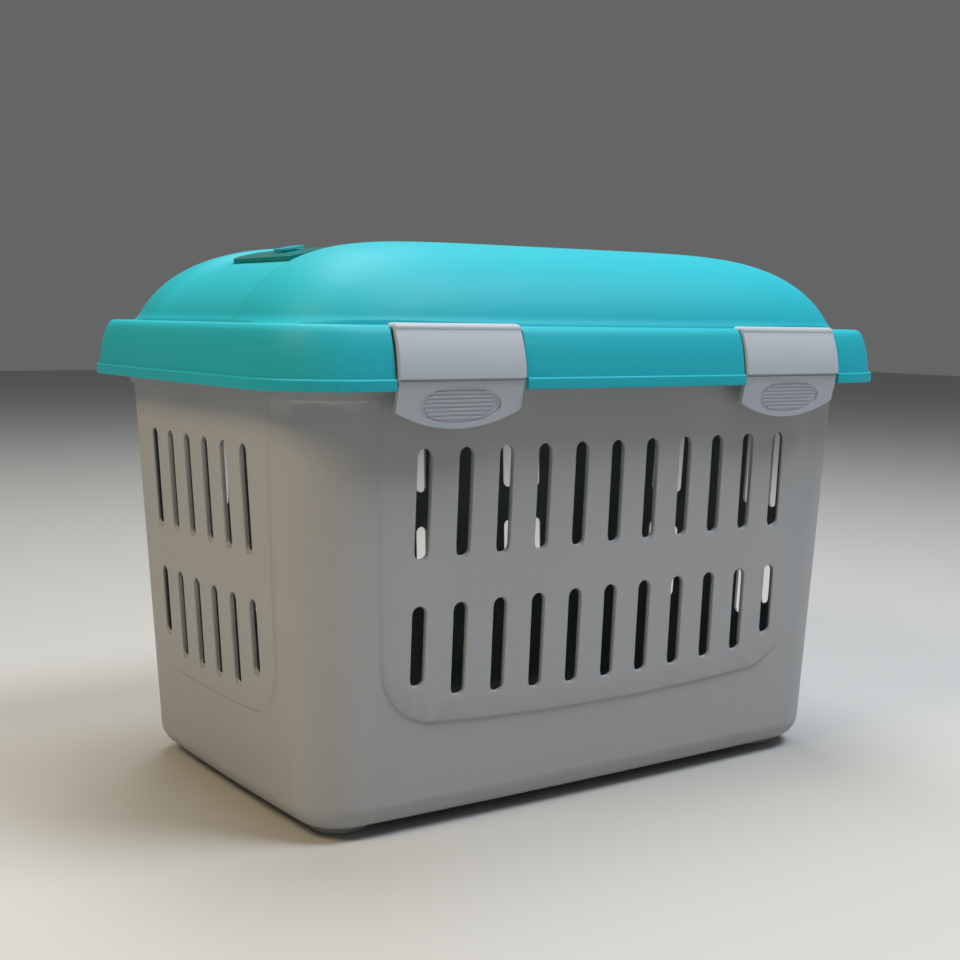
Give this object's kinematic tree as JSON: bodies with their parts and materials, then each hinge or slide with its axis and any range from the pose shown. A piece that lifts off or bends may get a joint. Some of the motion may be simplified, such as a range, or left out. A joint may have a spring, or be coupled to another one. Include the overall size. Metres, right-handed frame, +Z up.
{
  "type": "guinea pig carrier",
  "caption": "Carrier for a small pet: a slotted plastic tub with a hinged dome lid, front latches, a tinted hatch in the lid and a folding handle.",
  "frame": {"origin": "middle of the carrier's footprint, on the surface that its feet stand on", "axes": "+Z up, +X along the carrier to the right seen from the latches, the latches face -Y"},
  "size_m": [0.4358, 0.293, 0.3192],
  "materials": {
    "tub_plastic": "fine satin, lightly sparked",
    "lid_plastic": "semi-gloss",
    "latch_plastic": "satin",
    "hatch_tint": "tinted clear plastic",
    "pin_steel": "plain wire"
  },
  "bodies": {
    "tub": {"tub": "tub_plastic", "latch_pin_left": "pin_steel", "latch_pin_right": "pin_steel", "hinge_pin_left": "pin_steel", "hinge_pin_right": "pin_steel"},
    "lid": {"lid_shell": "lid_plastic", "hatch_pin": "pin_steel", "handle_pin_left": "pin_steel", "handle_pin_right": "pin_steel"},
    "latch_left": {"latch_left": "latch_plastic"},
    "latch_right": {"latch_right": "latch_plastic"},
    "hatch": {"hatch_door": "hatch_tint"},
    "catch": {"hatch_catch": "lid_plastic"},
    "handle": {"carry_handle": "lid_plastic"}
  },
  "joints": [
    {"name": "lid_hinge", "type": "hinge", "parent": "tub", "child": "lid", "pos_m": [0, 0.1429, 0.2332], "axis": [-1, 0, 0], "range_deg": [0, 100]},
    {"name": "latch_left_pivot", "type": "hinge", "parent": "tub", "child": "latch_left", "pos_m": [-0.1173, -0.137, 0.243], "axis": [1, 0, 0], "range_deg": [0, 18]},
    {"name": "latch_right_pivot", "type": "hinge", "parent": "tub", "child": "latch_right", "pos_m": [0.1173, -0.137, 0.243], "axis": [1, 0, 0], "range_deg": [0, 18]},
    {"name": "hatch_hinge", "type": "hinge", "parent": "lid", "child": "hatch", "pos_m": [-0.079, 0, 0.31348], "axis": [0, 1, 0], "range_deg": [0, 100]},
    {"name": "catch_slide", "type": "slide", "parent": "hatch", "child": "catch", "axis": [0.9785, 0, 0.2062], "range_m": [0, 0.005]},
    {"name": "handle_pivot", "type": "hinge", "parent": "lid", "child": "handle", "pos_m": [0, 0, 0.31505], "axis": [1, 0, 0], "range_deg": [0, 90]}
  ]
}
